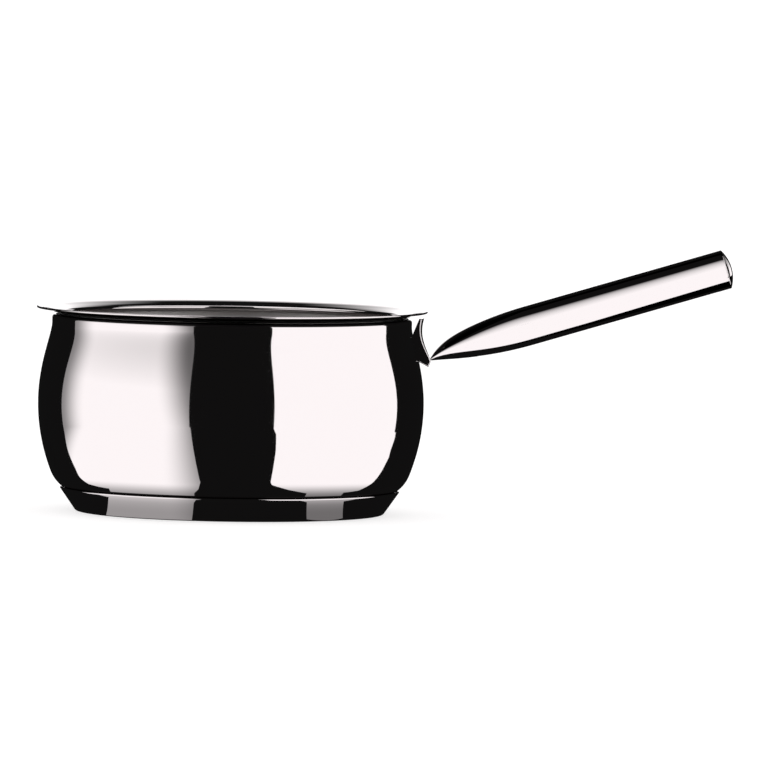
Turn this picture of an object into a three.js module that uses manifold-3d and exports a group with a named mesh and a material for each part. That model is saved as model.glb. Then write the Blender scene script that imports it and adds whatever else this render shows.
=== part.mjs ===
// Polished stainless steel saucepan: a drawn bulging vessel with a flared lip, an encapsulated base,
// and a tubular handle whose root is pinched flat and welded to a cast bracket under the lip.
// Millimetres, +Z up. The origin is the centre of the base underside, and the handle points along +X.
import * as THREE from "three";
import { mergeVertices } from "three/addons/utils/BufferGeometryUtils.js";
import Module from "manifold-3d";

const wasm = await Module();
wasm.setup();
const { degToRad } = THREE.MathUtils;

// Vessel
const THROAT_BORE = 160; // inside diameter where a lid drops in
const VESSEL_SHEET = 1;
const SHOULDER_WIDTH = 4.65; // of the ledge from the throat out to the collar
const SHOULDER_HEIGHT = 93.3; // of the ledge above the counter
const SHOULDER_BEND = 0.7; // inside the sheet
const COLLAR_HEIGHT = 2.1; // of the upright band under the shoulder
const BULGE_SWELL = 6.2; // of the widest circle beyond the collar
const BULGE_HEIGHT = 52; // of the widest circle above the counter
const BELLY_RADIUS = 90; // of the wall below the widest circle
const CORNER_BEND = 16; // inside the sheet, between the flat bottom and the belly
const GROOVE_RADIUS = 0.3; // of the tight fold between the shoulder and the lip
const LIP_WIDTH = 12; // from the throat out to the edge
const LIP_RISE = degToRad(11.5);

// Base
const CAP_SHEET = 1;
const CAP_SLOPE = degToRad(35); // lean of the cap's wall from upright
const CAP_FOOT_BEND = 0.6; // inside the sheet
const CAP_RIM_RISE = 3.1; // of the cap's edge above the vessel's flat bottom
const DISC_THICKNESS = 6.5;
const DISC_RIM_SETBACK = 1.6; // of the disc's edge below the cap's edge
const BOND_GAP = 0.25; // brazed joint between cap, disc and vessel

// Bracket
const WELD_GAP = 0.3;
const LIP_CLEARANCE = 1.9; // between the lip and the top of the bracket's wing
const WING_REACH = 5.8; // of the wing's top beyond the collar
const WING_THICKNESS = 1.4;
const WING_ROOT_DROP = 8.4; // from the wing's top to where it leaves the vessel
const WING_LEAN = degToRad(15);
const WING_SWEEP = 7.2; // how long the concave face follows the wing
const BRACKET_SPAN = 19.2; // from the wing's top down to the handle's weld
const BRACKET_EDGE = 0.5; // rounding of the bracket's sides
const BRACKET_MARGIN = 0.6; // of each side beyond the pinched tube
const HORN_REACH = 5.6; // of the handle's weld beyond the vessel
const HORN_DEPTH = 2.9; // of the horn's end below the weld
const HORN_LEAN = degToRad(25); // of the horn's end and of the concave face above the weld
const HORN_SWEEP = 8.2; // how long the concave face follows that lean
const HORN_FOOT_RISE = 2.3; // of the horn's underside from its tip to the vessel

// Handle
const HANDLE_ANGLE = degToRad(16.9); // above level
const HANDLE_LENGTH = 146.4; // of the tube from the weld to its open end
const TUBE_DIAMETER = 18.8;
const TUBE_SHEET = 0.9;
const PINCH_LENGTH = 49; // of the taper from flat to round
const PINCH_SLIT = 0.2; // left between the two flattened walls
const PINCH_DROP = 2; // of the flat end below the tube's axis
const BORE_NOSE = 0.4; // half the height of the bore where it closes
const END_CAP_SHEET = 1;
const END_CAP_CROWN = 3.2; // rise of the domed end
const END_CAP_EDGE = 0.5; // upright edge between the tube and the dome
const END_CAP_SKIRT = 5;
const END_CAP_CLEARANCE = 0.15; // radial, between skirt and bore

// Tension of the wall's S curve at the widest circle and at the collar, as shares of its height
const BULGE_TENSION = 0.49;
const COLLAR_TENSION = 0.16;

// How the tube swells from its pinched end, and how fast that end bends up to the axis
const SWELL_POWER = 0.75;
const BEND_POWER = 8;

// Facets
const PAN_SIDES = 64;
const TUBE_SIDES = 28;
const PINCH_STATIONS = 14;
const STEPS = { corner: 4, belly: 5, flank: 8, shoulder: 3, fold: 5, edge: 4, foot: 3, bracket: 10, dome: 6 };

const polished = (color, roughness) => new THREE.MeshStandardMaterial({ color, metalness: 1, roughness });
const point = (x, y) => new THREE.Vector2(x, y);
const line = (a, b) => ({ curve: new THREE.LineCurve(a, b), steps: 1 });
const arc = (centre, radius, from, to, steps) => ({
  curve: new THREE.EllipseCurve(centre.x, centre.y, radius, radius, from, to, to < from),
  steps,
});
const leaning = (angle) => point(Math.sin(angle), Math.cos(angle));

// Points along a chain of smooth curves, pushed to their left by a distance.
function chainPoints(chain, distance = 0) {
  const points = [];
  for (const { curve, steps } of chain) {
    for (let i = points.length ? 1 : 0; i <= steps; i++) {
      const tangent = curve.getTangent(i / steps);
      const left = point(-tangent.y, tangent.x);
      points.push(curve.getPoint(i / steps).addScaledVector(left, distance));
    }
  }
  return points;
}

// Closed outline of sheet metal: the chain is its outer face, and its free edge is rounded.
function sheetOutline(chain, thickness) {
  const outer = chainPoints(chain);
  const inner = chainPoints(chain, thickness);
  const along = chain.at(-1).curve.getTangent(1).angle();
  const middle = outer.at(-1).clone().lerp(inner.at(-1), 0.5);
  const edge = arc(middle, thickness / 2, along - Math.PI / 2, along + Math.PI / 2, STEPS.edge);
  return [...outer, ...chainPoints([edge]).slice(1, -1), ...inner.reverse()];
}

// Radius of an outline where it first passes a height on its way up.
function radiusAt(points, height) {
  const i = points.findIndex((p, n) => n > 0 && points[n - 1].y < height && p.y >= height);
  const [low, high] = [points[i - 1], points[i]];
  return low.x + ((high.x - low.x) * (height - low.y)) / (high.y - low.y);
}

// Solid turned about the Z axis.
function turned(points, sides) {
  return new THREE.LatheGeometry(points, sides).rotateX(Math.PI / 2);
}

// Solid through rings of equal length, closed over its first and last ring.
function lofted(rings) {
  const sides = rings[0].length;
  const hub = (ring) => ring.reduce((sum, v) => sum.add(v), new THREE.Vector3()).divideScalar(sides);
  const vertices = [...rings.flat(), hub(rings[0]), hub(rings.at(-1))];
  const index = [];
  for (let s = 0; s < sides; s++) {
    const next = (s + 1) % sides;
    for (let first = 0; first + sides < rings.length * sides; first += sides) {
      const [a, b] = [first + s, first + next];
      index.push(a, b, a + sides, b, b + sides, a + sides);
    }
    const last = (rings.length - 1) * sides;
    index.push(vertices.length - 2, next, s, vertices.length - 1, last + s, last + next);
  }
  return new THREE.BufferGeometry().setFromPoints(vertices).setIndex(index);
}

// A closed geometry as a boolean solid.
function solid(geometry) {
  const bare = geometry.clone();
  bare.deleteAttribute("normal");
  bare.deleteAttribute("uv");
  const merged = mergeVertices(bare);
  const corners = [];
  for (let i = 0; i < merged.index.count; i += 3) {
    const triangle = [0, 1, 2].map((n) => merged.index.getX(i + n));
    if (new Set(triangle).size === 3) corners.push(...triangle);
  }
  return new wasm.Manifold(
    new wasm.Mesh({
      numProp: 3,
      vertProperties: merged.attributes.position.array,
      triVerts: new Uint32Array(corners),
    }),
  );
}

function geometryOf(made) {
  const mesh = made.getMesh();
  return new THREE.BufferGeometry()
    .setAttribute("position", new THREE.BufferAttribute(mesh.vertProperties, 3))
    .setIndex(new THREE.BufferAttribute(mesh.triVerts, 1));
}

// Vessel radii, each built outwards from the throat
const throatRadius = THROAT_BORE / 2 + VESSEL_SHEET;
const collarRadius = throatRadius + SHOULDER_WIDTH;
const bulgeRadius = collarRadius + BULGE_SWELL;
const shoulderRadius = SHOULDER_BEND + VESSEL_SHEET;
const cornerRadius = CORNER_BEND + VESSEL_SHEET;

// The corner rests on the flat bottom and touches the belly's circle from inside
const floorHeight = CAP_SHEET + BOND_GAP + DISC_THICKNESS + BOND_GAP;
const bellyCentre = point(bulgeRadius - BELLY_RADIUS, BULGE_HEIGHT);
const cornerDrop = BULGE_HEIGHT - floorHeight - cornerRadius;
const cornerReach = Math.sqrt((BELLY_RADIUS - cornerRadius) ** 2 - cornerDrop ** 2);
const cornerCentre = point(bellyCentre.x + cornerReach, floorHeight + cornerRadius);
const bellyStart = -Math.atan2(cornerDrop, cornerReach);

// Outer face of the vessel, from the middle of its flat bottom to the shoulder
const collarTop = SHOULDER_HEIGHT - shoulderRadius;
const collarFoot = collarTop - COLLAR_HEIGHT;
const flankHeight = collarFoot - BULGE_HEIGHT;
const flank = new THREE.CubicBezierCurve(
  point(bulgeRadius, BULGE_HEIGHT),
  point(bulgeRadius, BULGE_HEIGHT + flankHeight * BULGE_TENSION),
  point(collarRadius, collarFoot - flankHeight * COLLAR_TENSION),
  point(collarRadius, collarFoot),
);
const shoulderCentre = point(collarRadius - shoulderRadius, collarTop);
const wallChain = [
  line(point(0, floorHeight), point(cornerCentre.x, floorHeight)),
  arc(cornerCentre, cornerRadius, -Math.PI / 2, bellyStart, STEPS.corner),
  arc(bellyCentre, BELLY_RADIUS, bellyStart, 0, STEPS.belly),
  { curve: flank, steps: STEPS.flank },
  line(point(collarRadius, collarFoot), point(collarRadius, collarTop)),
  arc(shoulderCentre, shoulderRadius, 0, Math.PI / 2, STEPS.shoulder),
];

// The fold at the throat, and the lip that flares out of it
const foldCentre = point(throatRadius + GROOVE_RADIUS, SHOULDER_HEIGHT + GROOVE_RADIUS);
const fold = arc(foldCentre, GROOVE_RADIUS, -Math.PI / 2, LIP_RISE - 1.5 * Math.PI, STEPS.fold);
const lipStart = fold.curve.getPoint(1);
const lipUnderside = (radius) => lipStart.y + (radius - lipStart.x) * Math.tan(LIP_RISE);
const lipEdge = throatRadius + LIP_WIDTH - (VESSEL_SHEET / 2) * (1 - Math.sin(LIP_RISE));
const lipChain = [
  line(point(shoulderCentre.x, SHOULDER_HEIGHT), point(foldCentre.x, SHOULDER_HEIGHT)),
  fold,
  line(lipStart, point(lipEdge, lipUnderside(lipEdge))),
];
const panBody = turned(sheetOutline([...wallChain, ...lipChain], VESSEL_SHEET), PAN_SIDES);

// Base cap: its edge just clears the vessel's corner, and its wall leans in from there to the foot
const capEdgeHeight = floorHeight + CAP_RIM_RISE;
const clearCorner = cornerRadius + BOND_GAP;
const cornerAngleAt = (height) => Math.asin((height - cornerCentre.y) / clearCorner);
const capInnerEdge = point(
  cornerCentre.x + clearCorner * Math.cos(cornerAngleAt(capEdgeHeight)),
  capEdgeHeight,
);
const capOuterEdge = capInnerEdge.clone().add(leaning(CAP_SLOPE + Math.PI / 2).multiplyScalar(CAP_SHEET));
const footBend = CAP_FOOT_BEND + CAP_SHEET;
const footSetback = footBend * Math.tan((Math.PI / 2 - CAP_SLOPE) / 2);
const footCentre = point(capOuterEdge.x - capOuterEdge.y * Math.tan(CAP_SLOPE) - footSetback, footBend);
const foot = arc(footCentre, footBend, -Math.PI / 2, -CAP_SLOPE, STEPS.foot);
const capChain = [
  line(point(0, 0), point(footCentre.x, 0)),
  foot,
  line(foot.curve.getPoint(1), capOuterEdge),
];
const baseCap = turned(sheetOutline(capChain, CAP_SHEET), PAN_SIDES);

// Diffuser disc: fills the cap up to the vessel's bottom and a little way round its corner
const discBottom = CAP_SHEET + BOND_GAP;
const discEdgeHeight = capEdgeHeight - DISC_RIM_SETBACK;
const discSideAt = (height) =>
  capInnerEdge.x - (capEdgeHeight - height) * Math.tan(CAP_SLOPE) - BOND_GAP / Math.cos(CAP_SLOPE);
const discSeat = arc(cornerCentre, clearCorner, cornerAngleAt(discEdgeHeight), -Math.PI / 2, STEPS.corner);
const diffuserDisc = turned(
  [
    point(0, discBottom),
    point(discSideAt(discBottom) - footBend, discBottom),
    point(discSideAt(discBottom + footBend), discBottom + footBend),
    point(discSideAt(discEdgeHeight), discEdgeHeight),
    ...chainPoints([discSeat]),
    point(0, floorHeight - BOND_GAP),
  ],
  PAN_SIDES,
);

// A tube flattened to a half height keeps its girth, so its half width grows
const tubeRadius = TUBE_DIAMETER / 2;
const pinchHalf = TUBE_SHEET + PINCH_SLIT / 2;
const halfWidth = (halfHeight) => halfHeight + (Math.PI / 2) * (tubeRadius - halfHeight);

// Bracket outline in the handle's plane: a wing under the lip, a concave face, and a horn below the weld
const wallPoints = chainPoints(wallChain);
const onWall = (height) => point(radiusAt(wallPoints, height), height);
const wingRadius = collarRadius + WING_REACH;
const wingTop = point(wingRadius, lipUnderside(wingRadius) - LIP_CLEARANCE);
const weld = onWall(wingTop.y - BRACKET_SPAN).add(point(HORN_REACH, 0));
const seatTop = weld.clone().addScaledVector(leaning(-HANDLE_ANGLE), pinchHalf);
const seatFoot = weld.clone().addScaledVector(leaning(-HANDLE_ANGLE), -pinchHalf);
const hornTip = seatFoot.clone().addScaledVector(leaning(HORN_LEAN), -HORN_DEPTH);
const hornFoot = onWall(hornTip.y + HORN_FOOT_RISE);
const wingRoot = onWall(wingTop.y - WING_ROOT_DROP);
const hornPull = seatTop.clone().addScaledVector(leaning(-HORN_LEAN), HORN_SWEEP);
const wingPull = wingTop.clone().addScaledVector(leaning(WING_LEAN), -WING_SWEEP);
const bracketWidth = 2 * (halfWidth(pinchHalf) + BRACKET_MARGIN);
const insideVessel = collarRadius - bracketWidth / 2;
const bracketShape = new THREE.Shape()
  .moveTo(insideVessel, hornFoot.y)
  .lineTo(hornFoot.x, hornFoot.y)
  .lineTo(hornTip.x, hornTip.y)
  .lineTo(seatFoot.x, seatFoot.y)
  .lineTo(seatTop.x, seatTop.y)
  .bezierCurveTo(hornPull.x, hornPull.y, wingPull.x, wingPull.y, wingTop.x, wingTop.y)
  .lineTo(wingTop.x - WING_THICKNESS, wingTop.y)
  .lineTo(wingRoot.x, wingRoot.y)
  .lineTo(insideVessel, wingRoot.y);

// The outline is extruded straight across and trimmed to sit on the round vessel
const bracketBlank = new THREE.ExtrudeGeometry(bracketShape, {
  depth: bracketWidth - 2 * BRACKET_EDGE,
  curveSegments: STEPS.bracket,
  bevelSize: BRACKET_EDGE,
  bevelThickness: BRACKET_EDGE,
  bevelOffset: -BRACKET_EDGE,
  bevelSegments: 2,
})
  .rotateX(Math.PI / 2)
  .translate(0, bracketWidth / 2 - BRACKET_EDGE, 0);
const vesselEnvelope = turned(
  [...chainPoints(wallChain, -WELD_GAP), point(0, SHOULDER_HEIGHT + WELD_GAP)],
  PAN_SIDES,
);
const handleBracket = geometryOf(solid(bracketBlank).subtract(solid(vesselEnvelope)));

// Handle tube along its own X axis, from the middle of its pinched end
const swell = (share) => (1 - (1 - share) ** 2) ** SWELL_POWER;
const stationOfSwell = (amount) => 1 - Math.sqrt(1 - amount ** (1 / SWELL_POWER));
function tubeRing(station, inset) {
  const share = Math.min(station / PINCH_LENGTH, 1);
  const half = pinchHalf + (tubeRadius - pinchHalf) * swell(share);
  const lift = PINCH_DROP * (1 - (1 - share) ** BEND_POWER);
  return Array.from({ length: TUBE_SIDES }, (_, i) => {
    const angle = (2 * Math.PI * i) / TUBE_SIDES;
    const across = (halfWidth(half) - inset) * Math.cos(angle);
    return new THREE.Vector3(station, across, lift + (half - inset) * Math.sin(angle));
  });
}

// Rings crowd towards the pinched end, where the tube changes most
const pinchRings = (start, inset) =>
  Array.from({ length: PINCH_STATIONS + 1 }, (_, i) => {
    const share = (i / PINCH_STATIONS) ** 1.6;
    return tubeRing(start + (PINCH_LENGTH - start) * share, inset);
  });
const boreSwell = (TUBE_SHEET + BORE_NOSE - pinchHalf) / (tubeRadius - pinchHalf);
const handleTube = lofted([
  ...pinchRings(0, 0),
  tubeRing(HANDLE_LENGTH, 0),
  tubeRing(HANDLE_LENGTH, TUBE_SHEET),
  ...pinchRings(PINCH_LENGTH * stationOfSwell(boreSwell), TUBE_SHEET).reverse(),
]);

// End cap: a pressed dome whose skirt slips into the tube
const domeRise = END_CAP_CROWN - END_CAP_EDGE;
const domeRadius = (tubeRadius ** 2 + domeRise ** 2) / (2 * domeRise);
const domeCentre = point(0, END_CAP_CROWN - domeRadius);
const skirtRadius = tubeRadius - TUBE_SHEET - END_CAP_CLEARANCE;
const skirtInside = skirtRadius - END_CAP_SHEET;
const domeFrom = (radius, sphere) =>
  chainPoints([arc(domeCentre, sphere, Math.acos(radius / sphere), Math.PI / 2, STEPS.dome)]);
const onAxis = (points) => points.map((p, i) => (i === points.length - 1 ? point(0, p.y) : p));
const endCap = turned(
  [
    ...onAxis(domeFrom(skirtInside, domeRadius - END_CAP_SHEET)).reverse(),
    point(skirtInside, -END_CAP_SKIRT),
    point(skirtRadius, -END_CAP_SKIRT),
    point(skirtRadius, 0),
    point(tubeRadius, 0),
    ...onAxis(domeFrom(tubeRadius, domeRadius)),
  ],
  TUBE_SIDES,
).rotateY(Math.PI / 2);

function part(name, geometry, material) {
  const mesh = new THREE.Mesh(geometry, material);
  mesh.name = name;
  return mesh;
}

// The handle's group is turned up from level about its weld
const mirrorSteel = polished(0xd8d8d9, 0.06);
const handle = new THREE.Group();
const handleRoot = weld.clone().addScaledVector(leaning(Math.PI / 2 - HANDLE_ANGLE), WELD_GAP);
handle.position.set(handleRoot.x, 0, handleRoot.y);
handle.rotation.y = -HANDLE_ANGLE;
const handleEndCap = part("handle_end_cap", endCap, mirrorSteel);
handleEndCap.position.set(HANDLE_LENGTH + WELD_GAP, 0, PINCH_DROP);
handle.add(part("handle_tube", handleTube, mirrorSteel), handleEndCap);

const saucepan = new THREE.Group();
saucepan.add(
  part("pan_body", panBody, mirrorSteel),
  part("base_cap", baseCap, polished(0xb9b9ba, 0.2)),
  part("diffuser_disc", diffuserDisc, polished(0xc3c5c7, 0.45)),
  part("handle_bracket", handleBracket, mirrorSteel),
  handle,
);

export default saucepan;
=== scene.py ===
"""Saucepan in polished stainless steel, built as fine meshes around the fixed frame.

The pieces and their finishes come first, then the studio that the steel mirrors, and the camera.
"""

import logging
import math
from dataclasses import dataclass, field
from enum import Enum
from typing import Any, Callable, Iterable

import bpy
from bpy.types import Material, MeshPolygon, Node, NodeSocket, NodeTree, Object
from mathutils import Euler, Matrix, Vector


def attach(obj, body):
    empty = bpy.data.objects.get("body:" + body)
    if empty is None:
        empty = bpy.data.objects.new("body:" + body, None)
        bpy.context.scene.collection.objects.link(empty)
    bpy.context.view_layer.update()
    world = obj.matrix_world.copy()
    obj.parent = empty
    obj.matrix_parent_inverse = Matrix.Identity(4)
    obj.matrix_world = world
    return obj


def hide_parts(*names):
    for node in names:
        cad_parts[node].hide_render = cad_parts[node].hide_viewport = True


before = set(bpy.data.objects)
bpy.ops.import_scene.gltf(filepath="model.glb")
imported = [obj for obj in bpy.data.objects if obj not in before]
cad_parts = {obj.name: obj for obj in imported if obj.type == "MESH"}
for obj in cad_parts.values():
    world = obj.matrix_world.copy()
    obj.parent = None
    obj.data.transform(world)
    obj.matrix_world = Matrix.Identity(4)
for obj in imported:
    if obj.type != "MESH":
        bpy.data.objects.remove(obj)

LOG = logging.getLogger("saucepan")
MM = 0.001
BODY = "root"
# Facets round the pan and round the handle.
PAN_SIDES = 240
TUBE_SIDES = 96
# Corners closer than this many millimetres become one.
MERGE_MM = 0.0005
# The bracket is this much wider on each side than the flat end of the tube, in millimetres.
BRACKET_MARGIN = 0.6
# What the steel mirrors where the studio has no card.
ROOM_DARK = 0.006


class Slot(Enum):
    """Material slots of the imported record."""

    MIRROR = "mirror_steel"
    BASE = "base_steel"


class SeenBy(Enum):
    """Which rays meet a studio piece."""

    EYE = "camera and diffuse"
    MIRROR = "glossy"


class Lit(Enum):
    """Which pieces a studio card shows in."""

    ALL = ("vessel", "base_dish", "bracket", "handle_pipe", "handle_dome")
    PAN = ("vessel", "base_dish")
    HANDLE = ("bracket", "handle_pipe", "handle_dome")


@dataclass(frozen=True)
class Line:
    """Straight stretch of a profile between two points, each a radius and a height."""

    start: Vector
    end: Vector
    steps: int = 1

    def at(self, share: float) -> Vector:
        """Point at a share of the length."""
        return self.start.lerp(self.end, share)

    def along(self, share: float) -> Vector:
        """Direction of travel, the same all the way."""
        return (self.end - self.start).normalized()


@dataclass(frozen=True)
class Arc:
    """Round stretch of a profile, from one angle to another in radians."""

    centre: Vector
    radius: float
    begin: float
    finish: float
    steps: int

    def angle(self, share: float) -> float:
        """Angle at a share of the sweep."""
        return self.begin + (self.finish - self.begin) * share

    def at(self, share: float) -> Vector:
        """Point at a share of the sweep."""
        turn = self.angle(share)
        return self.centre + self.radius * Vector((math.cos(turn), math.sin(turn)))

    def along(self, share: float) -> Vector:
        """Direction of travel at a share of the sweep."""
        turn = self.angle(share)
        return math.copysign(1.0, self.finish - self.begin) * Vector((-math.sin(turn), math.cos(turn)))


@dataclass(frozen=True)
class Bezier:
    """Cubic stretch of a profile through two pulls."""

    start: Vector
    pull_out: Vector
    pull_in: Vector
    end: Vector
    steps: int

    def at(self, share: float) -> Vector:
        """Point at a share of the parameter."""
        left = 1.0 - share
        return (
            left**3 * self.start
            + 3 * left**2 * share * self.pull_out
            + 3 * left * share**2 * self.pull_in
            + share**3 * self.end
        )

    def along(self, share: float) -> Vector:
        """Direction of travel at a share of the parameter."""
        left = 1.0 - share
        return (
            left**2 * (self.pull_out - self.start)
            + 2 * left * share * (self.pull_in - self.pull_out)
            + share**2 * (self.end - self.pull_in)
        ).normalized()


Stretch = Line | Arc | Bezier


def leaning(angle: float) -> Vector:
    """Unit step that leans from upright by an angle, towards larger radius."""
    return Vector((math.sin(angle), math.cos(angle)))


def chain_points(chain: Iterable[Stretch], distance: float = 0.0) -> list[Vector]:
    """Points along a chain of smooth stretches, pushed to their left.

    Args:
        chain: Stretches that follow each other smoothly.
        distance: How far each point is pushed to the left of its travel.

    Returns:
        The points in order, with none repeated where stretches meet.
    """
    points: list[Vector] = []
    for stretch in chain:
        for step in range(1 if points else 0, stretch.steps + 1):
            share = step / stretch.steps
            way = stretch.along(share)
            points.append(stretch.at(share) + distance * Vector((-way.y, way.x)))
    return points


def sheet_outline(chain: list[Stretch], thickness: float) -> list[Vector]:
    """Outline of sheet metal whose outer face is the chain and whose free edge is rounded.

    Args:
        chain: Outer face, starting on the axis.
        thickness: Of the sheet.

    Returns:
        Outer points, edge points and inner points back to the axis.
    """
    outer = chain_points(chain)
    inner = chain_points(chain, thickness)
    way = chain[-1].along(1.0)
    turn = math.atan2(way.y, way.x)
    middle = outer[-1].lerp(inner[-1], 0.5)
    edge = Arc(middle, thickness / 2, turn - math.pi / 2, turn + math.pi / 2, steps=8)
    return outer + chain_points([edge])[1:-1] + inner[::-1]


def start_alone(piece: Object | None = None) -> None:
    """Leave edit mode and deselect everything but one piece, if it is given.

    Args:
        piece: The one that the next operator acts on.
    """
    if bpy.context.object and bpy.context.object.mode != "OBJECT":
        bpy.ops.object.mode_set(mode="OBJECT")
    bpy.ops.object.select_all(action="DESELECT")
    if piece:
        piece.select_set(True)
        bpy.context.view_layer.objects.active = piece


def extrude_edges(step: Iterable[float]) -> None:
    """Draw new faces out of the selected edges, by a step in millimetres."""
    bpy.ops.mesh.extrude_edges_move(TRANSFORM_OT_translate={"value": [value * MM for value in step]})


def close_and_smooth(name: str, sharp_degrees: float) -> Object:
    """Merge, turn outwards, place and smooth the mesh that is being edited.

    Args:
        name: For the finished piece.
        sharp_degrees: Edges steeper than this stay sharp.

    Returns:
        The piece, at the origin and unturned.
    """
    bpy.ops.mesh.select_all(action="SELECT")
    bpy.ops.mesh.remove_doubles(threshold=MERGE_MM * MM)
    bpy.ops.mesh.normals_make_consistent(inside=False)
    bpy.ops.object.mode_set(mode="OBJECT")
    bpy.ops.object.transform_apply()
    bpy.ops.object.shade_smooth_by_angle(angle=math.radians(sharp_degrees))
    piece = bpy.context.object
    piece.name = name
    piece.data.name = name
    return piece


def turned(name: str, outline: list[Vector], sides: int) -> Object:
    """Turned piece about +Z: a disc, then ring after ring extruded and scaled along the outline.

    Args:
        name: For the finished piece.
        outline: Radius and height in millimetres, from the axis back to the axis.
        sides: Facets round the axis.

    Returns:
        The finished piece.
    """
    start_alone()
    rings = outline[1:-1]
    bpy.ops.mesh.primitive_circle_add(
        vertices=sides,
        radius=rings[0].x * MM,
        fill_type="TRIFAN",
        location=(0, 0, rings[0].y * MM),
        enter_editmode=True,
    )
    bpy.ops.mesh.select_all(action="SELECT")
    bpy.ops.mesh.region_to_loop()
    for last, ring in zip(rings, rings[1:]):
        extrude_edges((0, 0, ring.y - last.y))
        grow = ring.x / last.x
        bpy.ops.transform.resize(value=(grow, grow, 1), center_override=(0, 0, ring.y * MM))
    extrude_edges((0, 0, 0))
    bpy.ops.mesh.merge(type="CENTER")
    return close_and_smooth(name, sharp_degrees=40.0)


def set_down(piece: Object, place: Vector, tilt: float) -> Object:
    """Turn a piece about +Y, move it, and put both into its mesh.

    Args:
        piece: At the origin.
        place: Where its origin goes, in millimetres.
        tilt: How far +X is turned up, in radians.

    Returns:
        The same piece, at the origin again.
    """
    start_alone(piece)
    piece.rotation_euler = (0, -tilt, 0)
    piece.location = place * MM
    bpy.ops.object.transform_apply()
    return piece


def linear(code: str) -> tuple[float, float, float, float]:
    """Linear colour of an sRGB hex code such as #d9d6d6, with full alpha."""
    parts = [int(code[i : i + 2], 16) / 255 for i in (1, 3, 5)]
    return (*[p / 12.92 if p <= 0.04045 else ((p + 0.055) / 1.055) ** 2.4 for p in parts], 1.0)


def add_node(
    tree: NodeTree, kind: str, settings: dict[str, Any] | None = None, **inputs: Any
) -> Node:
    """Add a node, set its options, and set or link its inputs.

    Args:
        tree: Node tree that gets the node.
        kind: Blender's node type.
        settings: Attributes of the node.
        inputs: Socket names with underscores for spaces, or i and a socket's number, each with
            a value or an output socket.

    Returns:
        The new node.
    """
    made = tree.nodes.new(kind)
    for key, value in (settings or {}).items():
        setattr(made, key, value)
    for key, value in inputs.items():
        index = int(key[1:]) if key[0] == "i" and key[1:].isdigit() else key.replace("_", " ")
        socket = made.inputs[index]
        if isinstance(value, NodeSocket):
            tree.links.new(value, socket)
        else:
            socket.default_value = value
    return made


def reckon(tree: NodeTree, operation: str, *terms: Any) -> NodeSocket:
    """Result of one of Blender's math operations on values or output sockets."""
    inputs = {f"i{place}": term for place, term in enumerate(terms)}
    return add_node(tree, "ShaderNodeMath", {"operation": operation}, **inputs).outputs[0]


def ranged(
    tree: NodeTree,
    value: NodeSocket,
    span: tuple[float, float],
    result: tuple[float, float] = (0.0, 1.0),
    shape: str = "LINEAR",
) -> NodeSocket:
    """Carry a value over from one range to another, and hold it at the ends.

    Args:
        tree: Node tree that gets the node.
        value: Output socket.
        span: Range that it comes from.
        result: Range that it goes to.
        shape: Blender's name for the way between.

    Returns:
        Output socket.
    """
    made = add_node(
        tree,
        "ShaderNodeMapRange",
        {"interpolation_type": shape},
        Value=value,
        From_Min=span[0],
        From_Max=span[1],
        To_Min=result[0],
        To_Max=result[1],
    )
    return made.outputs["Result"]


def axis_distance(tree: NodeTree, apart: Node) -> NodeSocket:
    """Distance from the pan's axis, out of a node with the three coordinates."""
    flat = add_node(tree, "ShaderNodeCombineXYZ", X=apart.outputs["X"], Y=apart.outputs["Y"]).outputs[0]
    return add_node(tree, "ShaderNodeVectorMath", {"operation": "LENGTH"}, i0=flat).outputs["Value"]


def noise(
    tree: NodeTree, place: NodeSocket, size_mm: float, detail: float, grain: float = 0.5
) -> NodeSocket:
    """Random pattern with patches of a size, and with finer ones in them by detail and grain."""
    settings = {"Scale": 1 / (size_mm * MM), "Detail": detail, "Roughness": grain}
    return add_node(tree, "ShaderNodeTexNoise", Vector=place, **settings).outputs["Fac"]


def new_material(name: str) -> tuple[Material, NodeTree]:
    """A material with an empty tree.

    Args:
        name: Of the real material and of how its surface was made.

    Returns:
        The material and its tree.
    """
    material = bpy.data.materials.new(name)
    material.use_nodes = True
    material.node_tree.nodes.clear()
    return material, material.node_tree


def bare_metal(
    tree: NodeTree, colour: Any, roughness: NodeSocket, relief: NodeSocket, depth_mm: float
) -> None:
    """Finish a material's tree as bare metal with a shallow relief.

    Args:
        tree: With its patterns in place.
        colour: Value or output socket.
        roughness: Output socket.
        relief: Output socket with the height, from 0 to 1.
        depth_mm: Height of the relief.
    """
    bump = add_node(tree, "ShaderNodeBump", Strength=1.0, Distance=depth_mm * MM, Height=relief)
    shader = add_node(
        tree,
        "ShaderNodeBsdfPrincipled",
        Base_Color=colour,
        Metallic=1.0,
        Roughness=roughness,
        Normal=bump.outputs["Normal"],
    )
    add_node(tree, "ShaderNodeOutputMaterial", Surface=shader.outputs["BSDF"])


@dataclass(frozen=True)
class MirrorPolish:
    """Mirror-polished 18/10 stainless steel: buffed to a clear reflection with a trace of buffing haze."""

    name: str = "mirror-polished 18/10 stainless"
    tint: str = "#ece5e6"
    clear_roughness: float = 0.018
    hazy_roughness: float = 0.05
    haze_patch_mm: float = 14.0
    haze_detail: float = 6.0
    haze_grain: float = 0.7
    haze_range: tuple[float, float] = (0.3, 0.75)
    ripple_mm: float = 18.0
    ripple_detail: float = 1.0
    ripple_height_mm: float = 0.002

    def material(self) -> Material:
        """Buffing leaves soft patches of haze and a ripple that only bends reflections a little.

        Returns:
            The finished material.
        """
        material, tree = new_material(self.name)
        place = add_node(tree, "ShaderNodeTexCoord").outputs["Object"]
        haze = noise(tree, place, self.haze_patch_mm, self.haze_detail, self.haze_grain)
        ripple = noise(tree, place, self.ripple_mm, self.ripple_detail)
        roughness = ranged(tree, haze, self.haze_range, (self.clear_roughness, self.hazy_roughness))
        bare_metal(tree, linear(self.tint), roughness, ripple, self.ripple_height_mm)
        return material


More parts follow.
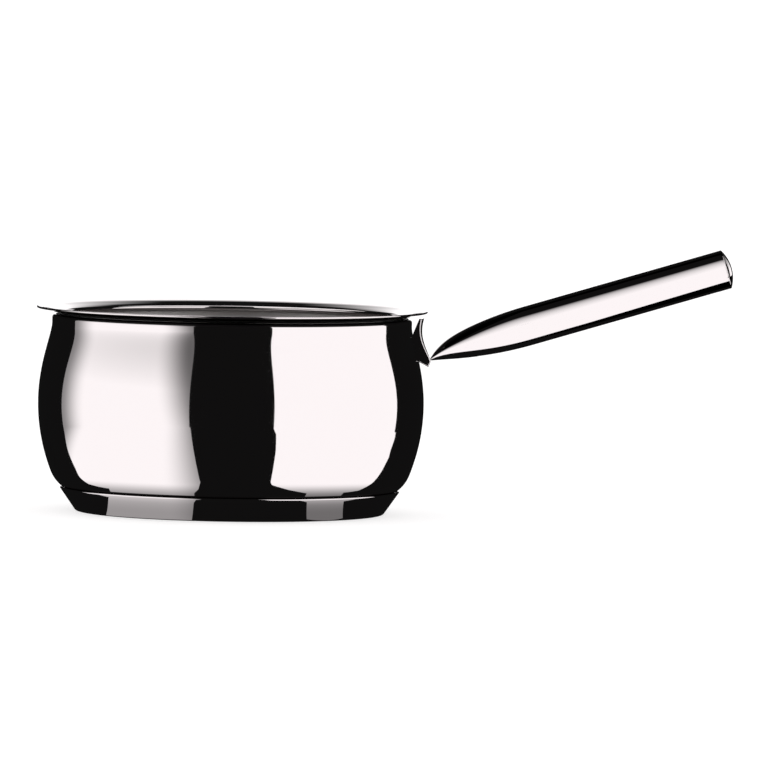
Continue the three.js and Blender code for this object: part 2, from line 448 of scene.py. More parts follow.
@dataclass(frozen=True)
class SpunSatin:
    """Satin steel spun against an abrasive: fine rings about the pan's axis that spread each reflection."""

    name: str
    tint: str
    furrow: str
    roughness: float
    ring_mm: float
    ring_height_mm: float
    ring_detail: float = 3.0
    ring_grain: float = 0.6
    ring_range: tuple[float, float] = (0.25, 0.75)
    shade_range: tuple[float, float] = (0.3, 0.62)
    roughness_spread: float = 0.25

    def material(self) -> Material:
        """The rings are far finer in life, and are drawn this coarse so that they show.

        Returns:
            The finished material.
        """
        material, tree = new_material(self.name)
        place = add_node(tree, "ShaderNodeTexCoord").outputs["Object"]
        apart = add_node(tree, "ShaderNodeSeparateXYZ", Vector=place)
        around = add_node(tree, "ShaderNodeCombineXYZ", X=axis_distance(tree, apart), Z=apart.outputs["Z"])
        rings = noise(tree, around.outputs["Vector"], self.ring_mm, self.ring_detail, self.ring_grain)
        spread = self.roughness * self.roughness_spread
        roughness = ranged(tree, rings, self.ring_range, (self.roughness - spread, self.roughness + spread))
        # Sockets 6 and 7 are the two colours, and output 2 is their mix.
        steel = add_node(
            tree,
            "ShaderNodeMix",
            {"data_type": "RGBA"},
            i0=ranged(tree, rings, self.shade_range),
            i6=linear(self.furrow),
            i7=linear(self.tint),
        )
        bare_metal(tree, steel.outputs[2], roughness, rings, self.ring_height_mm)
        return material


# Buffed outside and on the lip: a clear mirror.
MIRROR = MirrorPolish()
# Spun inside: pale grey that spreads what it mirrors into soft rings.
INSIDE_SATIN = SpunSatin(
    "satin-spun 18/10 stainless", "#ebe7e6", "#d0cccb", roughness=0.5, ring_mm=1.4, ring_height_mm=0.004
)
# As drawn, in the groove that no wheel reaches: dull, and painted darker as the shade of the recess under
# the lip.
GROOVE_PLAIN_SHADED = SpunSatin(
    "unpolished drawn stainless with painted shade", "#8f8c8b", "#858281", roughness=0.38, ring_mm=0.6, ring_height_mm=0.002
)
# Turned on the underside: darker rings with a broad sheen.
UNDERSIDE_SATIN = SpunSatin(
    "turned magnetic stainless", "#c6c4c3", "#a3a1a0", roughness=0.3, ring_mm=1.4, ring_height_mm=0.006
)
# As rolled, enclosed in the base: soft bluish grey.
ROLLED_ALUMINIUM = SpunSatin(
    "rolled aluminium", "#c9cbcd", "#b5b7b9", roughness=0.42, ring_mm=0.7, ring_height_mm=0.004
)


def finish_piece(
    piece: Object,
    slot: Slot,
    finishes: list[Material],
    finish_of: Callable[[MeshPolygon], int] = lambda face: 0,
) -> None:
    """Give a piece its finishes, and let it ride on the pan.

    Args:
        piece: Finished mesh.
        slot: Not used.
        finishes: The piece's materials.
        finish_of: Tells the place of a face's finish among them.
    """
    piece.data.materials.clear()
    for finish in finishes:
        piece.data.materials.append(finish)
    for face in piece.data.polygons:
        face.material_index = finish_of(face)
    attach(piece, BODY)
    LOG.info("%s: %d faces", piece.name, len(piece.data.polygons))


class HandlePiece:
    """Polished piece on the handle's side, of which the body shows no image."""

    def dress(self, piece: Object, mirror: Material) -> None:
        """Polish all over, and leave the piece out of what the steel mirrors."""
        finish_piece(piece, Slot.MIRROR, [mirror])
        piece.visible_glossy = False


@dataclass
class Vessel:
    """Drawn vessel with its collar, shoulder, groove and flared lip. Millimetres and radians."""

    throat_bore: float = 160.0
    sheet: float = 1.0
    shoulder_width: float = 4.65
    shoulder_height: float = 93.3
    shoulder_bend: float = 0.7
    collar_height: float = 2.1
    bulge_swell: float = 6.2
    bulge_height: float = 52.0
    belly_radius: float = 90.0
    corner_bend: float = 16.0
    floor_height: float = 8.0
    groove_radius: float = 0.3
    lip_width: float = 12.0
    lip_rise: float = math.radians(11.5)
    bulge_tension: float = 0.49
    collar_tension: float = 0.16
    # How far out from the throat the groove's dull finish, painted darker as shade, reaches.
    plain_shaded_reach: float = 2.4
    face_slack: float = 0.1
    lip_slack: float = 0.02
    inward_facing: float = -0.05
    floor_facing: float = 0.5
    lip_top_facing: float = -0.5
    throat: float = field(init=False)
    collar: float = field(init=False)
    bulge: float = field(init=False)
    corner: float = field(init=False)
    corner_centre: Vector = field(init=False)
    lip_start: Vector = field(init=False)

    def __post_init__(self) -> None:
        """Work out the radii outwards from the throat, and the corner from the belly's circle."""
        self.throat = self.throat_bore / 2 + self.sheet
        self.collar = self.throat + self.shoulder_width
        self.bulge = self.collar + self.bulge_swell
        self.corner = self.corner_bend + self.sheet
        drop = self.bulge_height - self.floor_height - self.corner
        reach = math.sqrt((self.belly_radius - self.corner) ** 2 - drop**2)
        corner_radius = self.bulge - self.belly_radius + reach
        self.corner_centre = Vector((corner_radius, self.floor_height + self.corner))
        self.lip_start = self.fold().at(1.0)

    def wall(self) -> list[Stretch]:
        """Outer face from the middle of the flat bottom to the shoulder.

        Returns:
            Stretches that follow each other smoothly.
        """
        belly_centre = Vector((self.bulge - self.belly_radius, self.bulge_height))
        to_corner = self.corner_centre - belly_centre
        belly_begin = math.atan2(to_corner.y, to_corner.x)
        bend = self.shoulder_bend + self.sheet
        collar_top = self.shoulder_height - bend
        collar_foot = collar_top - self.collar_height
        rise = collar_foot - self.bulge_height
        widest = Vector((self.bulge, self.bulge_height))
        foot = Vector((self.collar, collar_foot))
        return [
            Line(Vector((0, self.floor_height)), Vector((self.corner_centre.x, self.floor_height))),
            Arc(self.corner_centre, self.corner, -math.pi / 2, belly_begin, steps=16),
            Arc(belly_centre, self.belly_radius, belly_begin, 0.0, steps=20),
            Bezier(
                widest,
                widest + Vector((0, rise * self.bulge_tension)),
                foot - Vector((0, rise * self.collar_tension)),
                foot,
                steps=28,
            ),
            Line(foot, Vector((self.collar, collar_top))),
            Arc(Vector((self.collar - bend, collar_top)), bend, 0.0, math.pi / 2, steps=10),
        ]

    def fold(self) -> Arc:
        """Tight fold at the throat, between the shoulder and the lip."""
        centre = Vector((self.throat, self.shoulder_height)) + Vector((1, 1)) * self.groove_radius
        return Arc(centre, self.groove_radius, -math.pi / 2, self.lip_rise - 1.5 * math.pi, steps=14)

    def lip_underside(self, radius: float) -> float:
        """Height of the lip's underside at a radius."""
        return self.lip_start.y + (radius - self.lip_start.x) * math.tan(self.lip_rise)

    def lip(self) -> list[Stretch]:
        """Shoulder ledge, fold and flared lip.

        Returns:
            Stretches that carry on from the wall.
        """
        bend = self.shoulder_bend + self.sheet
        fold = self.fold()
        edge = self.throat + self.lip_width - self.sheet / 2 * (1 - math.sin(self.lip_rise))
        ledge = Vector((self.collar - bend, self.shoulder_height))
        return [
            Line(ledge, fold.at(0.0)),
            fold,
            Line(self.lip_start, Vector((edge, self.lip_underside(edge))), steps=3),
        ]

    def on_wall(self, height: float) -> Vector:
        """Point of the outer wall at a height.

        Args:
            height: Above the hob, in millimetres.

        Returns:
            Radius and height.
        """
        points = chain_points(self.wall())
        for low, high in zip(points, points[1:]):
            if low.y < height <= high.y:
                return low.lerp(high, (height - low.y) / (high.y - low.y))
        raise ValueError(f"the wall has no point at {height} mm")

    def build(self) -> Object:
        """Ring by ring along the sheet's outline.

        Returns:
            The vessel, in place of its CAD node.
        """
        piece = turned("vessel", sheet_outline(self.wall() + self.lip(), self.sheet), PAN_SIDES)
        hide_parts("pan_body")
        return piece

    def dress(self, piece: Object, mirror: Material) -> None:
        """Polish outside, satin inside, plain steel painted darker as shade in the groove."""
        finishes = [mirror, INSIDE_SATIN.material(), GROOVE_PLAIN_SHADED.material()]
        finish_piece(piece, Slot.MIRROR, finishes, self.finish_of)

    def finish_of(self, face: MeshPolygon) -> int:
        """Polished outside and on the lip, satin inside, plain with painted shade in the groove that no
        wheel reaches.

        Args:
            face: Of the finished vessel.

        Returns:
            Place of the finish in the vessel's materials.
        """
        centre = face.center / MM
        radial = Vector((centre.x, centre.y))
        facing = face.normal.xy.dot(radial.normalized())
        on_floor = face.normal.z > self.floor_facing and centre.z < self.bulge_height
        if centre.z < self.shoulder_height - self.sheet / 2:
            return int(facing < self.inward_facing or on_floor)
        underside = self.lip_underside(radial.length) + self.lip_slack
        under_lip = centre.z < underside and facing > self.lip_top_facing
        in_groove = self.throat - self.face_slack < radial.length < self.throat + self.plain_shaded_reach
        return 2 * int(under_lip and in_groove)


@dataclass
class BaseCap:
    """Pressed dish that closes the base, with a leaning wall and a rounded edge."""

    vessel: Vessel
    sheet: float = 1.0
    slope: float = math.radians(35)
    foot_bend: float = 0.6
    rim_rise: float = 3.1
    bond_gap: float = 0.25
    flat_facing: float = -0.99

    def chain(self) -> list[Stretch]:
        """Outer face from the middle of the underside to the edge.

        Returns:
            Stretches that follow each other smoothly.
        """
        corner = self.vessel.corner_centre
        clear = self.vessel.corner + self.bond_gap
        edge_height = self.vessel.floor_height + self.rim_rise
        angle = math.asin((edge_height - corner.y) / clear)
        inner_edge = Vector((corner.x + clear * math.cos(angle), edge_height))
        outer_edge = inner_edge + leaning(self.slope + math.pi / 2) * self.sheet
        bend = self.foot_bend + self.sheet
        setback = bend * math.tan((math.pi / 2 - self.slope) / 2)
        centre = Vector((outer_edge.x - outer_edge.y * math.tan(self.slope) - setback, bend))
        foot = Arc(centre, bend, -math.pi / 2, -self.slope, steps=10)
        return [Line(Vector((0, 0)), foot.at(0.0)), foot, Line(foot.at(1.0), outer_edge, steps=4)]

    def build(self) -> Object:
        """Ring by ring along the sheet's outline.

        Returns:
            The dish, in place of its CAD node.
        """
        piece = turned("base_dish", sheet_outline(self.chain(), self.sheet), PAN_SIDES)
        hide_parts("base_cap")
        return piece

    def dress(self, piece: Object, mirror: Material) -> None:
        """Polish on the wall, turned satin underneath."""
        finish_piece(piece, Slot.BASE, [mirror, UNDERSIDE_SATIN.material()], self.finish_of)

    def dress_disc(self) -> None:
        """Rolled aluminium on the CAD disc that the dish encloses."""
        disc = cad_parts["diffuser_disc"]
        disc.data.materials.clear()
        disc.data.materials.append(ROLLED_ALUMINIUM.material())
        LOG.info("%s: %d faces", disc.name, len(disc.data.polygons))

    def finish_of(self, face: MeshPolygon) -> int:
        """Turned satin on the flat faces that rest on the hob, polish elsewhere."""
        return int(face.normal.z < self.flat_facing)


@dataclass
class Bracket(HandlePiece):
    """Cast saddle between the vessel and the handle: wing, concave face and horn."""

    vessel: Vessel
    half_width: float
    pinch_half: float
    handle_angle: float
    lip_clearance: float = 1.9
    wing_reach: float = 5.8
    wing_thickness: float = 1.4
    wing_root_drop: float = 8.4
    wing_lean: float = math.radians(15)
    wing_sweep: float = 7.2
    span: float = 19.2
    edge: float = 0.6
    horn_reach: float = 5.6
    horn_depth: float = 2.9
    horn_lean: float = math.radians(25)
    horn_sweep: float = 8.2
    horn_foot_rise: float = 2.3
    weld_bite: float = 0.05
    side_slack: float = 0.001
    slices: int = 14

    def wing_top(self) -> Vector:
        """Outer corner of the wing under the lip."""
        radius = self.vessel.collar + self.wing_reach
        return Vector((radius, self.vessel.lip_underside(radius) - self.lip_clearance))

    def weld(self) -> Vector:
        """Middle of the seat that the handle is welded to."""
        return self.vessel.on_wall(self.wing_top().y - self.span) + Vector((self.horn_reach, 0))

    def outline(self) -> list[Vector]:
        """Outline in the handle's plane, with its inner side well inside the vessel.

        Returns:
            Radius and height of each corner.
        """
        wing_top = self.wing_top()
        weld = self.weld()
        seat_top = weld + leaning(-self.handle_angle) * self.pinch_half
        seat_foot = weld - leaning(-self.handle_angle) * self.pinch_half
        tip = seat_foot - leaning(self.horn_lean) * self.horn_depth
        foot = self.vessel.on_wall(tip.y + self.horn_foot_rise)
        root = self.vessel.on_wall(wing_top.y - self.wing_root_drop)
        inside = self.vessel.collar - self.half_width
        face = Bezier(
            seat_top,
            seat_top + leaning(-self.horn_lean) * self.horn_sweep,
            wing_top - leaning(self.wing_lean) * self.wing_sweep,
            wing_top,
            steps=36,
        )
        return [
            Vector((inside, foot.y)),
            foot,
            tip,
            seat_foot,
            *chain_points([face]),
            wing_top - Vector((self.wing_thickness, 0)),
            root,
            Vector((inside, root.y)),
        ]

    def curve_back(self, piece: Object) -> None:
        """Bend the wing round the vessel, less and less down to the straight seat.

        Args:
            piece: Outline extruded across, before its sides are rounded.
        """
        top = self.wing_top()
        low = self.weld().y
        for vertex in piece.data.vertices:
            share = min(max((vertex.co.z / MM - low) / (top.y - low), 0.0), 1.0)
            across = vertex.co.y / MM
            sag = top.x - math.sqrt(top.x**2 - across**2)
            vertex.co.x -= share * sag * MM

    def build(self) -> Object:
        """Outline extruded across, its sides rounded, and its back cut to the vessel.

        Returns:
            The bracket, in place of its CAD node.
        """
        outline = self.outline()
        start_alone()
        bpy.ops.mesh.primitive_circle_add(vertices=len(outline), radius=1.0, fill_type="NGON")
        piece = bpy.context.object
        for vertex, spot in zip(piece.data.vertices, outline):
            vertex.co = Vector((spot.x, -self.half_width, spot.y)) * MM
        bpy.ops.object.mode_set(mode="EDIT")
        bpy.ops.mesh.select_all(action="SELECT")
        for _ in range(self.slices):
            bpy.ops.mesh.extrude_region_move(
                TRANSFORM_OT_translate={"value": (0, 2 * self.half_width / self.slices * MM, 0)}
            )
        bpy.ops.mesh.select_all(action="SELECT")
        bpy.ops.mesh.normals_make_consistent(inside=False)
        bpy.ops.mesh.select_mode(type="EDGE")
        bpy.ops.mesh.select_all(action="DESELECT")
        bpy.ops.object.mode_set(mode="OBJECT")
        self.curve_back(piece)
        for edge in piece.data.edges:
            sides = [abs(piece.data.vertices[i].co.y) / MM for i in edge.vertices]
            edge.select = min(sides) > self.half_width - self.side_slack
        bpy.ops.object.mode_set(mode="EDIT")
        bpy.ops.mesh.bevel(offset=self.edge * MM, segments=5, profile=0.5, clamp_overlap=True)
        bpy.ops.object.mode_set(mode="OBJECT")
        envelope = turned(
            "vessel_envelope",
            [*chain_points(self.vessel.wall(), self.weld_bite), Vector((0, self.vessel.shoulder_height))],
            PAN_SIDES,
        )
        start_alone(piece)
        trim = piece.modifiers.new("trim", "BOOLEAN")
        trim.operation = "DIFFERENCE"
        trim.object = envelope
        bpy.ops.object.modifier_apply(modifier=trim.name)
        bpy.data.objects.remove(envelope)
        bpy.ops.object.mode_set(mode="EDIT")
        piece = close_and_smooth("bracket", sharp_degrees=35.0)
        weigh = piece.modifiers.new("weigh", "WEIGHTED_NORMAL")
        weigh.keep_sharp = True
        bpy.ops.object.modifier_apply(modifier=weigh.name)
        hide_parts("handle_bracket")
        return piece


@dataclass(frozen=True)
class Ring:
    """Section of the tube at a station, with the height of its centre."""

    station: float
    lift: float
    half_width: float
    half_height: float


@dataclass
class Handle(HandlePiece):
    """Round tube pinched flat at its root, with a domed cap on its free end."""

    angle: float = math.radians(16.9)
    length: float = 146.4
    diameter: float = 18.8
    sheet: float = 0.9
    pinch_length: float = 49.0
    pinch_slit: float = 0.2
    pinch_drop: float = 2.0
    bore_nose: float = 0.4
    swell_power: float = 0.75
    bend_power: float = 8.0
    cap_sheet: float = 1.0
    cap_crown: float = 3.2
    cap_edge: float = 0.5
    cap_skirt: float = 5.0
    cap_clearance: float = 0.15
    cap_round: float = 0.35
    cap_round_sweep: float = math.radians(50)
    seam_gap: float = 0.06
    stations: int = 44
    crowding: float = 1.7
    straight_rings: int = 12

    @property
    def radius(self) -> float:
        """Of the round tube, outside."""
        return self.diameter / 2

    @property
    def pinch_half(self) -> float:
        """Half the thickness of the flat end."""
        return self.sheet + self.pinch_slit / 2

    def half_width(self, half_height: float) -> float:
        """Half the width of the tube flattened to a half height: its girth stays the same."""
        return half_height + math.pi / 2 * (self.radius - half_height)

    def ring(self, station: float, inset: float) -> Ring:
        """Section of the tube at a station.

        Args:
            station: Distance from the flat end.
            inset: Zero for the outer face, the sheet for the bore.

        Returns:
            The section, round past the taper.
        """
        share = min(station / self.pinch_length, 1.0)
        swell = (1 - (1 - share) ** 2) ** self.swell_power
        half = self.pinch_half + (self.radius - self.pinch_half) * swell
        lift = self.pinch_drop * (1 - (1 - share) ** self.bend_power)
        return Ring(station, lift, self.half_width(half) - inset, half - inset)

    def pinch_rings(self, start: float, inset: float) -> list[Ring]:
        """Sections along the taper, crowded towards the flat end."""
        shares = [(i / self.stations) ** self.crowding for i in range(self.stations + 1)]
        return [self.ring(start + (self.pinch_length - start) * share, inset) for share in shares]

    def build_tube(self, root: Vector) -> Object:
        """Loft ring after ring from the flat end, over the free end and back into the bore.

        Args:
            root: Middle of the flat end in millimetres.

        Returns:
            The finished tube.
        """
        bore_swell = (self.sheet + self.bore_nose - self.pinch_half) / (self.radius - self.pinch_half)
        bore_start = self.pinch_length * (1 - math.sqrt(1 - bore_swell ** (1 / self.swell_power)))
        straight = self.length - self.pinch_length
        steps = range(1, self.straight_rings + 1)
        middle = [self.pinch_length + straight * i / self.straight_rings for i in steps]
        rings = [
            *self.pinch_rings(0.0, 0.0),
            *[self.ring(station, 0.0) for station in middle],
            *[self.ring(station, self.sheet) for station in reversed(middle)],
            *reversed(self.pinch_rings(bore_start, self.sheet)),
        ]
        start_alone()
        bpy.ops.mesh.primitive_circle_add(
            vertices=TUBE_SIDES,
            radius=MM,
            fill_type="TRIFAN",
            rotation=(0, math.pi / 2, 0),
            enter_editmode=True,
        )
        bpy.ops.mesh.select_all(action="SELECT")
        flat_end = (1, rings[0].half_width, rings[0].half_height)
        bpy.ops.transform.resize(value=flat_end, center_override=(0, 0, 0))
        bpy.ops.mesh.region_to_loop()
        for last, ring in zip(rings, rings[1:]):
            extrude_edges((ring.station - last.station, 0, ring.lift - last.lift))
            bpy.ops.transform.resize(
                value=(1, ring.half_width / last.half_width, ring.half_height / last.half_height),
                center_override=(ring.station * MM, 0, ring.lift * MM),
            )
        extrude_edges((0, 0, 0))
        bpy.ops.mesh.merge(type="CENTER")
        piece = close_and_smooth("handle_pipe", sharp_degrees=50.0)
        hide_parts("handle_tube")
        return set_down(piece, Vector((root.x, 0, root.y)), self.angle)

    def build_cap(self, root: Vector) -> Object:
        """Turned dome with a skirt, laid along the tube.

        Args:
            root: Middle of the tube's flat end in millimetres.

        Returns:
            The finished cap.
        """
        rise = self.cap_crown - self.cap_edge
        sphere = (self.radius**2 + rise**2) / (2 * rise)
        centre = Vector((0, self.cap_crown - sphere))
        skirt = self.radius - self.sheet - self.cap_clearance
        inside = skirt - self.cap_sheet
        inner = sphere - self.cap_sheet
        outer_begin = math.acos((self.radius - self.cap_round / 3) / sphere)
        rim_centre = Vector((self.radius - self.cap_round, self.cap_round))
        rim = Arc(rim_centre, self.cap_round, 0.0, self.cap_round_sweep, steps=6)
        outline = [
            Vector((0, centre.y + inner)),
            *chain_points([Arc(centre, inner, math.pi / 2, math.acos(inside / inner), steps=16)])[1:],
            Vector((inside, -self.cap_skirt)),
            Vector((skirt, -self.cap_skirt)),
            Vector((skirt, 0)),
            Vector((self.radius, 0)),
            *chain_points([rim]),
            *chain_points([Arc(centre, sphere, outer_begin, math.pi / 2, steps=24)])[1:-1],
            Vector((0, self.cap_crown)),
        ]
        piece = turned("handle_dome", outline, TUBE_SIDES)
        set_down(piece, Vector((self.length + self.seam_gap, 0, self.pinch_drop)), -math.pi / 2)
        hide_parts("handle_end_cap")
        return set_down(piece, Vector((root.x, 0, root.y)), self.angle)


@dataclass(frozen=True)
class Ramp:
    """Where a card's light begins and where it is full, with the share it begins at."""

    dark: float
    bright: float
    rest: float = 0.0


@dataclass(frozen=True)
class SoftCard:
    """White card that only the steel sees, level where it has no top.

    Lengths are in millimetres. Azimuths are in degrees from the front, positive to the right.
    Opens and closes bound the light sideways, fades upwards and fills outwards along the ground.
    Second sight is the share of the light that is left in a mirror seen in another.
    """

    name: str
    lit: Lit
    plan: tuple[tuple[float, float], ...]
    low: float
    high: float | None = None
    power: float = 1.17
    second_sight: float = 0.012
    slope: float = 0.0
    centre: float = 0.0
    lean: float = 0.0
    opens: Ramp | None = None
    closes: Ramp | None = None
    fades: Ramp | None = None
    fills: Ramp | None = None

    def glow(self) -> Material:
        """Light that dies away at soft edges; the handle's own cards are clear to the pan.

        Returns:
            The card's material.
        """
        material, tree = new_material(self.name)
        place = add_node(tree, "ShaderNodeTexCoord").outputs["Object"]
        apart = add_node(tree, "ShaderNodeSeparateXYZ", Vector=place)
        height = apart.outputs["Z"]
        ahead = reckon(tree, "MULTIPLY", apart.outputs["Y"], -1.0)
        aside = reckon(tree, "SUBTRACT", apart.outputs["X"], self.centre * MM)
        turn = reckon(tree, "ARCTAN2", aside, ahead)
        leaned = reckon(tree, "MULTIPLY_ADD", height, math.radians(self.lean) / MM, turn)
        depth = add_node(tree, "ShaderNodeLightPath").outputs["Ray Depth"]
        strength = ranged(tree, depth, (1.0, 2.0), (self.power, self.power * self.second_sight))
        readings = (
            (turn, self.opens, math.radians(1), "SMOOTHSTEP"),
            (leaned, self.closes, math.radians(1), "SMOOTHSTEP"),
            (height, self.fades, MM, "LINEAR"),
            (axis_distance(tree, apart), self.fills, MM, "SMOOTHSTEP"),
        )
        for reading, ramp, unit, shape in readings:
            if ramp is None:
                continue
            span = (ramp.dark * unit, ramp.bright * unit)
            share = ranged(tree, reading, span, (ramp.rest, 1.0), shape)
            strength = reckon(tree, "MULTIPLY", strength, share)
        least = reckon(tree, "MAXIMUM", strength, ROOM_DARK)
        surface = add_node(tree, "ShaderNodeEmission", Color=(1, 1, 1, 1), Strength=least).outputs[0]
        if self.lit is Lit.HANDLE:
            clear = add_node(tree, "ShaderNodeBsdfTransparent").outputs[0]
            surface = add_node(tree, "ShaderNodeAddShader", i0=surface, i1=clear).outputs[0]
        add_node(tree, "ShaderNodeOutputMaterial", Surface=surface)
        return material

    def build(self) -> Object:
        """Level card if it has no top, else an upright one along its plan.

        Returns:
            The card, with its light on it.
        """
        start_alone()
        bpy.ops.mesh.primitive_circle_add(vertices=len(self.plan), radius=1.0, fill_type="NGON")
        card = bpy.context.object
        card.name = self.name
        for vertex, (x, y) in zip(card.data.vertices, self.plan):
            vertex.co = Vector((x, y, self.low + self.slope * x)) * MM
        if self.high is not None:
            bpy.ops.object.mode_set(mode="EDIT")
            bpy.ops.mesh.select_mode(type="EDGE")
            bpy.ops.mesh.select_all(action="DESELECT")
            bpy.ops.object.mode_set(mode="OBJECT")
            ends = {0, len(self.plan) - 1}
            for edge in card.data.edges:
                edge.select = set(edge.vertices) == ends
            bpy.ops.object.mode_set(mode="EDIT")
            bpy.ops.mesh.delete(type="EDGE")
            bpy.ops.mesh.select_all(action="SELECT")
            extrude_edges((0, 0, self.high - self.low))
            bpy.ops.object.mode_set(mode="OBJECT")
        card.data.materials.append(self.glow())
        return card


def round_plan(
    begin: float, finish: float, radius: float = 300.0, steps: int = 24
) -> tuple[tuple[float, float], ...]:
    """Plan line round the pan at a radius, between two azimuths in degrees."""
    turns = [math.radians(begin + (finish - begin) * i / steps) for i in range(steps + 1)]
    return tuple((radius * math.sin(turn), -radius * math.cos(turn)) for turn in turns)


# Top of the tall cards, how their light fades upwards, and height of the cards on the ground.
TALL = 710
TALL_FADE = Ramp(TALL, 180)
ON_GROUND = 0.4
# Where in X the left panel's azimuths start from, and its soft edges to the back and the dark middle.
LEFT_CENTRE = 26
LEFT_OPENS = Ramp(-104, -84, 0.25)
LEFT_CLOSES = Ramp(-18, -38, 0.17)

CARDS = (
    # Panel on the left, and the light ground before it.
    SoftCard(
        "left_card",
        Lit.ALL,
        round_plan(-105, -20),
        0,
        320,
        centre=LEFT_CENTRE,
        lean=0.045,
        opens=LEFT_OPENS,
        closes=LEFT_CLOSES,
        fades=Ramp(420, 100),
    ),
    SoftCard(
        "left_ground_card",
        Lit.ALL,
        (
            (-16, -70), (-18, -81), (-17, -88), (-19, -101), (-100, -283), (-150, -300), (-300, -150),
            (-300, 0), (-290, 77), (-236, 46), (-194, 24), (-164, 8), (-118, -20), (-82, -38),
            (-66, -53), (-57, -46),
        ),
        ON_GROUND,
        centre=LEFT_CENTRE,
        opens=LEFT_OPENS,
        closes=LEFT_CLOSES,
        fills=Ramp(76, 100, 0.32),
    ),
    # Panel on the right, in lengths because the handle shows less of it, and one above the dark middle.
    SoftCard("right_card", Lit.ALL, round_plan(22.9, 66), 0, TALL, fades=TALL_FADE),
    SoftCard("flank_card", Lit.PAN, round_plan(66, 80), 0, TALL, fades=TALL_FADE),
    SoftCard("side_card", Lit.ALL, round_plan(80, 95.5), 0, TALL, fades=TALL_FADE),
    SoftCard("far_side_card", Lit.PAN, round_plan(95.5, 103.5), 0, TALL, fades=TALL_FADE),
    SoftCard("high_card", Lit.HANDLE, round_plan(-20, 22.9), 176, TALL, fades=TALL_FADE),
    # The light ground before the right panel.
    SoftCard(
        "right_ground_card",
        Lit.ALL,
        (
            (44, -72), (36, -83), (30, -95), (31, -100), (60, -152), (97, -224), (116.7, -276.4),
            (150, -300), (300, -150), (300, -46), (268, -46), (200, -18), (148, -14), (123, -20),
            (102, -33), (85, -41), (74, -46), (64, -55), (55, -50), (38, -64),
        ),
        ON_GROUND,
        fills=Ramp(77, 103, 0.16),
    ),
    SoftCard(
        "side_ground_card",
        Lit.PAN,
        (
            (123, -20), (148, -14), (200, -18), (268, -46), (300, -46), (300, 40), (289, 76), (242, 50),
            (207, 28), (181, 12), (154, -1), (137, -12),
        ),
        ON_GROUND,
    ),
    # Small panel off the handle's end.
    SoftCard("end_card", Lit.HANDLE, ((308, 33), (293, 52), (277, 72)), 118, 158, fades=Ramp(160, 130)),
    # Panel at the back, and the light ground before it.
    SoftCard("back_card", Lit.ALL, ((-110, 300), (0, 300), (110, 300)), 0, 194, fades=Ramp(192, 148)),
    SoftCard(
        "back_ground_card",
        Lit.ALL,
        ((-55, 62), (55, 62), (110, 300), (-110, 300)),
        ON_GROUND,
        fills=Ramp(76, 104, 0.25),
    ),
    # Light below the base, with a dark collar that keeps it off the wall.
    SoftCard("under_card", Lit.ALL, round_plan(0, 345, radius=60), -60),
    SoftCard("under_collar", Lit.ALL, round_plan(0, 360, radius=67), -30, -0.5, power=0.0),
    # Lights overhead, with a gap above the dark middle.
    SoftCard(
        "top_card",
        Lit.PAN,
        ((-300, -60), (-150, -60), (-150, 240), (0, 240), (0, 330), (-300, 330)),
        420,
        power=1.0,
    ),
    SoftCard(
        "ceiling_card",
        Lit.PAN,
        (
            (-420, -420), (-153, -420), (-55, 150), (62, 150), (177, -420), (420, -420), (420, 420),
            (-420, 420),
        ),
        730,
        power=1.0,
        second_sight=0.6,
    ),
    # Strip behind the handle, along its slope.
    SoftCard(
        "strip_card",
        Lit.HANDLE,
        ((118, 17), (175, 17), (232, 17)),
        32.7,
        47.3,
        power=0.5,
        slope=0.304,
    ),
)


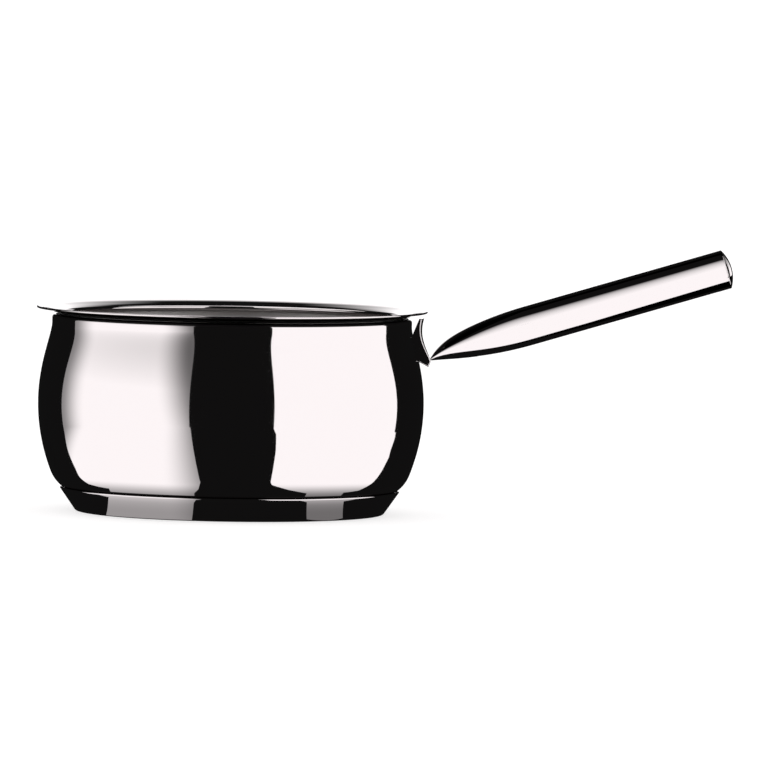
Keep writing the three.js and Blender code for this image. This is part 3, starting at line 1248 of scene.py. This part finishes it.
@dataclass
class Studio:
    """White ground, soft cards on both sides of a dark gap, and the camera. Metres, but for the sensor."""

    camera_distance: float = 4.5
    camera_elevation: float = math.radians(2.9)
    camera_roll: float = math.radians(0.95)
    frame_width: float = 0.3656
    sensor: float = 36.0
    aim: Vector = field(default_factory=lambda: Vector((0.0727, 0.0, 0.0622)))
    far_clip: float = 100.0
    white: float = 1.25
    ground_size: float = 40.0
    ground_drop: float = 0.0002
    ground_matt: str = "#a6a5a5"
    ground_glow: str = "#fbfafa"
    ground_glow_strength: float = 0.75

    def camera(self) -> None:
        """Long lens at the photograph's angle, rolled a little as the photograph is."""
        lens = bpy.data.cameras.new("camera")
        lens.sensor_width = self.sensor
        lens.lens = self.sensor * self.camera_distance / self.frame_width
        lens.clip_end = self.far_clip
        seat = bpy.data.objects.new("camera", lens)
        bpy.context.scene.collection.objects.link(seat)
        back = Vector((0, -math.cos(self.camera_elevation), math.sin(self.camera_elevation)))
        seat.location = self.aim + back * self.camera_distance
        look = Euler((math.pi / 2 - self.camera_elevation, 0, 0)).to_matrix()
        roll = Euler((0, 0, self.camera_roll)).to_matrix()
        seat.rotation_euler = (look @ roll).to_euler()
        bpy.context.scene.camera = seat

    def world(self) -> None:
        """White to the eye and to matt surfaces, dark to mirrors."""
        world = bpy.data.worlds.new("studio")
        bpy.context.scene.world = world
        world.use_nodes = True
        tree = world.node_tree
        tree.nodes.clear()
        glossy = add_node(tree, "ShaderNodeLightPath").outputs["Is Glossy Ray"]
        white = add_node(tree, "ShaderNodeBackground", Color=(1, 1, 1, 1), Strength=self.white).outputs[0]
        dark = add_node(tree, "ShaderNodeBackground", Color=(1, 1, 1, 1), Strength=ROOM_DARK).outputs[0]
        mix = add_node(tree, "ShaderNodeMixShader", i0=glossy, i1=white, i2=dark).outputs[0]
        add_node(tree, "ShaderNodeOutputWorld", Surface=mix)
        bpy.context.scene.view_settings.view_transform = "Standard"

    def stage(self, piece: Object, seen_by: SeenBy) -> None:
        """Set which rays meet a studio piece.

        Args:
            piece: Of the studio.
            seen_by: The eye and matt surfaces, or mirrors.
        """
        to_eye = seen_by is SeenBy.EYE
        piece.visible_camera = to_eye
        piece.visible_diffuse = to_eye
        piece.visible_shadow = to_eye
        piece.visible_glossy = not to_eye

    def ground(self) -> None:
        """Pale matt ground that the steel doesn't mirror, clear from below and with a faint shadow."""
        start_alone()
        bpy.ops.mesh.primitive_plane_add(size=self.ground_size, location=(0, 0, -self.ground_drop))
        ground = bpy.context.object
        ground.name = "ground"
        material, tree = new_material("pale ground")
        matt = add_node(
            tree,
            "ShaderNodeBsdfPrincipled",
            Base_Color=linear(self.ground_matt),
            Roughness=1.0,
            Emission_Color=linear(self.ground_glow),
            Emission_Strength=self.ground_glow_strength,
        )
        clear = add_node(tree, "ShaderNodeBsdfTransparent").outputs[0]
        below = add_node(tree, "ShaderNodeNewGeometry").outputs["Backfacing"]
        mix = add_node(tree, "ShaderNodeMixShader", i0=below, i1=matt.outputs[0], i2=clear).outputs[0]
        add_node(tree, "ShaderNodeOutputMaterial", Surface=mix)
        # The glow is there for the eye, so no light samples are spent on it.
        material.cycles.emission_sampling = "NONE"
        ground.data.materials.append(material)
        self.stage(ground, SeenBy.EYE)

    def build(self) -> None:
        """Everything around the pan."""
        self.camera()
        self.world()
        self.ground()
        groups = {lit: bpy.data.collections.new(lit.name.lower()) for lit in Lit}
        for lit, group in groups.items():
            for name in lit.value:
                group.objects.link(bpy.data.objects[name])
        for card in CARDS:
            piece = card.build()
            self.stage(piece, SeenBy.MIRROR)
            piece.light_linking.receiver_collection = groups[card.lit]


def main() -> None:
    """Build and dress each piece in order, then the studio."""
    logging.basicConfig(level=logging.INFO, format="%(name)s %(message)s")
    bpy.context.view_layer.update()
    mirror = MIRROR.material()
    vessel = Vessel()
    vessel.dress(vessel.build(), mirror)
    cap = BaseCap(vessel)
    cap.dress(cap.build(), mirror)
    handle = Handle()
    width = handle.half_width(handle.pinch_half) + BRACKET_MARGIN
    bracket = Bracket(vessel, width, handle.pinch_half, handle.angle)
    bracket.dress(bracket.build(), mirror)
    root = bracket.weld() + leaning(math.pi / 2 - handle.angle) * handle.seam_gap
    handle.dress(handle.build_tube(root), mirror)
    handle.dress(handle.build_cap(root), mirror)
    cap.dress_disc()
    Studio().build()
    bpy.context.view_layer.update()


if __name__ == "__main__":
    main()
